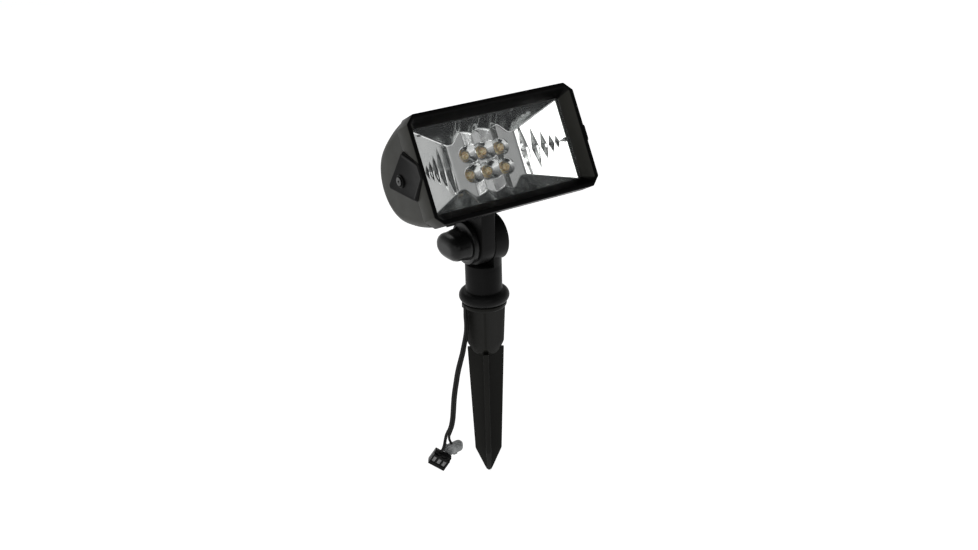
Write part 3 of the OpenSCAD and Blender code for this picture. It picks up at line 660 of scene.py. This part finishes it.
def tray_ribs():
    """Slender spindles across both end walls, and a pointer from the last one to the window."""
    bm = bmesh.new()
    for side in (-1, 1):
        for i, (at, half) in enumerate(RIBS):
            rise, wide = 3.6 - 0.45 * i, 3.5 - 0.38 * i
            rings = []
            for s in np.linspace(-1, 1, 13):
                k = max(1 - abs(s), 0.02)
                w, h = wide * k**0.9, rise * k**0.8
                rings.append([(side * (at + dx), end_depth(at + dx) - dy, s * half)
                              for dx, dy in ((-w, -0.2), (-0.25 * w, h), (0.25 * w, h), (w, -0.2), (0, -0.6))])
            loft(bm, rings)
        rings = []
        for x, half, rise in ((61.5, 0.3, 0.4), (64.0, 1.1, 1.1), (66.0, 2.3, 1.5), (67.2, 2.6, 1.3)):
            deep = end_depth(x)
            rings.append([(side * x, max(deep - dy, TRAY_FRONT + 0.05), z) for z, dy in
                          ((-half, -0.3), (-0.5 * half, rise), (0.5 * half, rise), (half, -0.3))])
        loft(bm, rings)
    piece("tray_ribs", bm, MIRROR, "head", HEAD, (), angle=20)
    bm = bmesh.new()
    x, z = -58.0, 28.6
    deep = end_depth(x)
    loft(bm, [[(x + dx, deep + dx * END_SLOPE + dy, z + dz) for dx, dz in
               ((-2.6, -0.3), (-2.2, -0.7), (2.2, -0.7), (2.6, -0.3), (2.6, 0.3), (2.2, 0.7), (-2.2, 0.7),
                (-2.6, 0.3))] for dy in (0.5, -0.25)])
    soften(bm, 0.12, 2)
    piece("tray_latch", bm, PARTS_DARK, "head", HEAD, ())


front_frame()
side_tabs()
shell()
reflector()
tray_ribs()

# ---- knuckle ----

LUG_R, LUG_GAP, LUG_OUT, STEM_R = 19.5, 0.4, 12.9, 15.2


def upper_knuckle():
    """The upper lug and neck, and the saddle under the shell's back curve."""
    curve = BACK_R + 1.0

    def top(y):
        return REACH - math.sqrt(curve**2 - y**2)

    bm = bmesh.new()
    outline = [(y, top(y)) for y in np.linspace(LUG_R, -LUG_R, 25)] + arc(0, 0, LUG_R, 180, 360, 40)
    extrude_x(bm, outline, -LUG_OUT, -LUG_GAP)
    soften(bm, 1.1, 3)
    saddle = bmesh.new()
    low = [(y, max(8.0, math.sqrt(21.0**2 - y * y))) for y in np.linspace(-2, 19.4, 16)] + [(20, 8.0)]
    extrude_x(saddle, low + [(y, top(y)) for y in np.linspace(20, -2, 16)], -22, 22)
    soften(saddle, 1.0, 3)
    join(bm, saddle)
    piece("knuckle_head", bm, KNUCKLE_BLACK, "head", AT_NECK, ("upper_knuckle",), angle=34)


def stem():
    bm = bmesh.new()
    edge = [(15.75 + 5.25 * math.cos(a), 5.25 + 5.25 * math.sin(a))
            for a in np.linspace(-math.pi / 2, math.pi / 2, 15)]
    lathe_z(bm, [(0, -30), (8.4, -30), (9, -29.4), (9, 0)] + edge + [(15.9, 10.5), (15.4, 10.9), (STEM_R, 11.6),
            (STEM_R, 33.7), (14.9, 34.4), (14.2, 34.7), (0, 34.7)], 96)
    # the half-round riser beside the gap, and the lug on it
    turn = math.acos(LUG_GAP / STEM_R)
    half = [(STEM_R * math.cos(a), STEM_R * math.sin(a)) for a in np.linspace(-turn, turn, 40)]
    loft(bm, [[(x, y, z) for x, y in half] for z in (33.0, 51.5)]
         + [[(LUG_GAP + (x - LUG_GAP) * 0.8, y * 0.8, 54.0) for x, y in half]])
    lug = bmesh.new()
    extrude_x(lug, arc(0, 55, LUG_R, 0, 360, 72)[:-1], LUG_GAP, LUG_OUT)
    lathe_x(lug, [(8.4, 12.4), (8.4, 13.2), (8.0, 13.5), (6.6, 13.5), (6.4, 13.2), (6.4, 12.4)], 48, (0, 55))
    soften(lug, 1.1, 3)
    join(bm, lug)
    piece("stem_and_flange", bm, KNUCKLE_BLACK, "stake", HERE, ("stem",), angle=34)


def knob():
    """A round flange that flows into two thumb wings."""
    bm = bmesh.new()
    n = 72

    def section(x, a, b, power, ripple=0.0):
        out = []
        for k in range(n):
            t = 2 * math.pi * k / n
            c, s = math.cos(t), math.sin(t)
            r = 1 / ((abs(c) / a) ** power + (abs(s) / b) ** power) ** (1 / power)
            y, z = r * c, r * s
            if ripple and abs(y) > 3:
                far = math.hypot(x + 20.5, abs(y) - 6.5)
                z += math.copysign(ripple * math.cos(far * 2 * math.pi / 4.2) * min(1, (abs(y) - 3) / 4), z)
            out.append((x, y, z))
        return out

    rows = [(-14.0, 5.0, 5.0, 2), (-14.0, 16.6, 16.6, 2), (-14.25, 17.25, 17.25, 2), (-14.8, 17.5, 17.5, 2),
            (-17.9, 17.5, 17.5, 2), (-18.45, 17.3, 17.3, 2), (-18.7, 16.8, 16.8, 2), (-18.75, 15.6, 15.2, 2),
            (-19.0, 15.9, 14.4, 2), (-19.6, 16.4, 13.2, 2.1), (-20.6, 16.8, 12.2, 2.2)]
    rows += [(-20.6 - 9 * t, 17.0 - 0.3 * t, 12.2 - 1.6 * math.sin(t * math.pi / 2), 2.3) for t in
             np.linspace(0.1, 1, 12)]
    rows += [(-29.6 - 7.1 * math.sin(t), 8.8 + 7.9 * math.cos(t), 3.6 + 7.0 * math.cos(t), 2.3) for t in
             np.linspace(0.12, math.pi / 2, 13)]
    last = rows[-1]
    rows += [(last[0], last[1] * 0.6, last[2] * 0.6, 2.25)]
    loft(bm, [section(x, a, b, p, 0.28 if x < -20 else 0) for x, a, b, p in rows])
    piece("thumb_knob", bm, KNOB_BLACK, "knob", AT_HINGE, ("knob",), angle=30)


upper_knuckle()
stem()
knob()

# ---- spike ----


def spike():
    bm = bmesh.new()
    lathe_z(bm, [(0, -0.02), (18.1, -0.02), (18.6, -0.3), (18.7, -0.9), (18.6, -2.6), (18.2, -3.4), (17.6, -3.9),
                 (0, -3.95)], 96)

    def square(r, z, corner=2.0, n=6, rise=0.0):
        """A square with round corners at radius r; rise lifts the corners above the middle of each side."""
        out = []
        for q in range(4):
            a = math.pi / 2 * q
            c = (r - corner) * math.cos(a), (r - corner) * math.sin(a)
            ring = [(c[0] + corner * math.cos(a + b), c[1] + corner * math.sin(a + b))
                    for b in np.linspace(-math.pi / 4, math.pi / 4, n)]
            d = (r - corner) * math.cos(a + math.pi / 2), (r - corner) * math.sin(a + math.pi / 2)
            b = a + math.pi / 4
            after = (d[0] + corner * math.cos(b), d[1] + corner * math.sin(b))
            out += ring + [tuple(p + (q2 - p) * t for p, q2 in zip(ring[-1], after))
                           for t in (1 / 6, 2 / 6, 3 / 6, 4 / 6, 5 / 6)]
        low = min(math.hypot(x, y) for x, y in out)
        return [(x, y, z + rise * (math.hypot(x, y) - low) / (r - low)) for x, y in out]

    loft(bm, [square(17.34, -3.0), square(17.26, -4.0), square(15.6, -38.0, rise=1.0),
              square(15.3, -45.4, rise=7.2), square(15.0, -45.9, 1.95, rise=7.1),
              square(7.0, -50.0, 1.4, rise=1.0), square(4.0, -50.5, 1.0)])

    def cross(w, t, z, r=0.7):
        out = []
        for q in range(4):
            a = math.pi / 2 * q
            tip = [(w - r, t), (w - r * 0.3, t - r * 0.3), (w, t - r), (w, r - t), (w - r * 0.3, r * 0.3 - t),
                   (w - r, -t)][::-1] + [(t + 0.9, t), (t + 0.3, t + 0.3), (t, t + 0.9)]
            out += [(x * math.cos(a) - y * math.sin(a), x * math.sin(a) + y * math.cos(a), z) for x, y in tip]
        return out

    loft(bm, [cross(15.3, 2.25, -44.0), cross(11.5, 2.25, -141.4), cross(11.2, 2.2, -142.6),
              cross(3.4, 1.5, -161.5, 0.4), cross(2.0, 0.85, -164.7, 0.2)])
    piece("ground_spike", bm, SPIKE_GREY, "stake", SPIKE_TURN, ("spike",), angle=34)


spike()

# ---- CAD nodes that stay ----

FINISH = {
    "bezel_screws": SCREW, "lens": WINDOW, "lens_gasket": RUBBER, "led_board": BOARD_WHITE, "led_bases": BASE_WHITE,
    "led_domes": PHOSPHOR, "board_screws": STEEL, "heat_spreader": ALU, "spreader_screws": STEEL,
    "standoffs": BRASS, "driver_board": BOARD_GREEN, "driver_parts": PARTS_DARK, "saddle_gasket": RUBBER,
    "saddle_screws": STEEL, "head_leads": CORD_BLACK, "knuckle_bolt": STEEL, "friction_washer": RUBBER,
    "stem_cable": CORD_BLACK, "cord_grip": RUBBER, "tap_contacts": BRASS, "knob_nut": BRASS, "knob_washer": STEEL}
for name, material in FINISH.items():
    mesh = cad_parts[name].data
    for k in range(len(mesh.materials)):
        mesh.materials[k] = material

# ---- floor and light ----


def stage():
    bm = bmesh.new()
    s, z = 40.0, -0.1662
    bm.faces.new([bm.verts.new((x, y, z)) for x, y in ((-s, -s), (s, -s), (s, s), (-s, s))])
    mesh = bpy.data.meshes.new("floor")
    bm.to_mesh(mesh)
    bm.free()
    m, t, p = nodes_of("floor_pale")
    t.links.new(ramp(t, noise(t, 2.0, 2), [(0.3, (0.93, 0.93, 0.93)), (0.7, (0.96, 0.96, 0.96))]),
                p.inputs["Base Color"])
    p.inputs["Roughness"].default_value = 0.9
    p.inputs["Specular IOR Level"].default_value = 0.1
    p.inputs["Emission Color"].default_value = (1, 1, 1, 1)
    # it glows a little more behind the object than in front of it, fixed to the floor
    to_back = (0.5449, 0.8385, 0)
    tc = t.nodes.new("ShaderNodeTexCoord")
    across = dot_with(t, tc.outputs["Object"], to_back)
    t.links.new(map_range(t, across, -0.9, -0.15, 0.5, 0.8), p.inputs["Emission Strength"])
    mesh.materials.append(m)
    o = bpy.data.objects.new("floor", mesh)
    bpy.context.scene.collection.objects.link(o)


def area(name, place, target, size, power):
    d = bpy.data.lights.new(name, "AREA")
    d.shape, d.size, d.size_y, d.energy = "RECTANGLE", size[0], size[1], power
    o = bpy.data.objects.new(name, d)
    o.location = place
    o.rotation_mode = "QUATERNION"
    o.rotation_quaternion = (Vector(target) - Vector(place)).to_track_quat("-Z", "Y")
    o.visible_camera = False
    bpy.context.scene.collection.objects.link(o)


def lights():
    world = bpy.data.worlds.new("studio")
    world.use_nodes = True
    t = world.node_tree
    tc = t.nodes.new("ShaderNodeTexCoord")
    split = t.nodes.new("ShaderNodeSeparateXYZ")
    t.links.new(tc.outputs["Generated"], split.inputs["Vector"])
    sky = ramp(t, split.outputs["Z"], [(0.0, grey(0.9)), (0.1, grey(0.9)), (0.14, grey(0.5)), (0.4, grey(0.34)),
                                       (0.75, grey(0.1)), (1.0, grey(0.1))])
    t.links.new(sky, t.nodes["Background"].inputs["Color"])
    # the room is dimmer in front of the object
    to_front = (0.05, -0.999, 0)
    ahead = dot_with(t, tc.outputs["Generated"], to_front)
    t.links.new(map_range(t, ahead, 0.80, 0.87, 1.1, 0.05), t.nodes["Background"].inputs["Strength"])
    bpy.context.scene.world = world
    area("front_box", (-0.42, -1.5, 0.95), (0, -0.03, 0.13), (0.46, 0.75), 2.3)
    area("key", (-1.2, -0.3, 0.9), (0, 0, 0.05), (0.5, 0.6), 2.0)
    area("rim", (0.3, 1.2, 1.1), (0, 0, 0.08), (1.2, 0.4), 3.0)
    bpy.context.scene.view_settings.view_transform = "Standard"


stage()
lights()
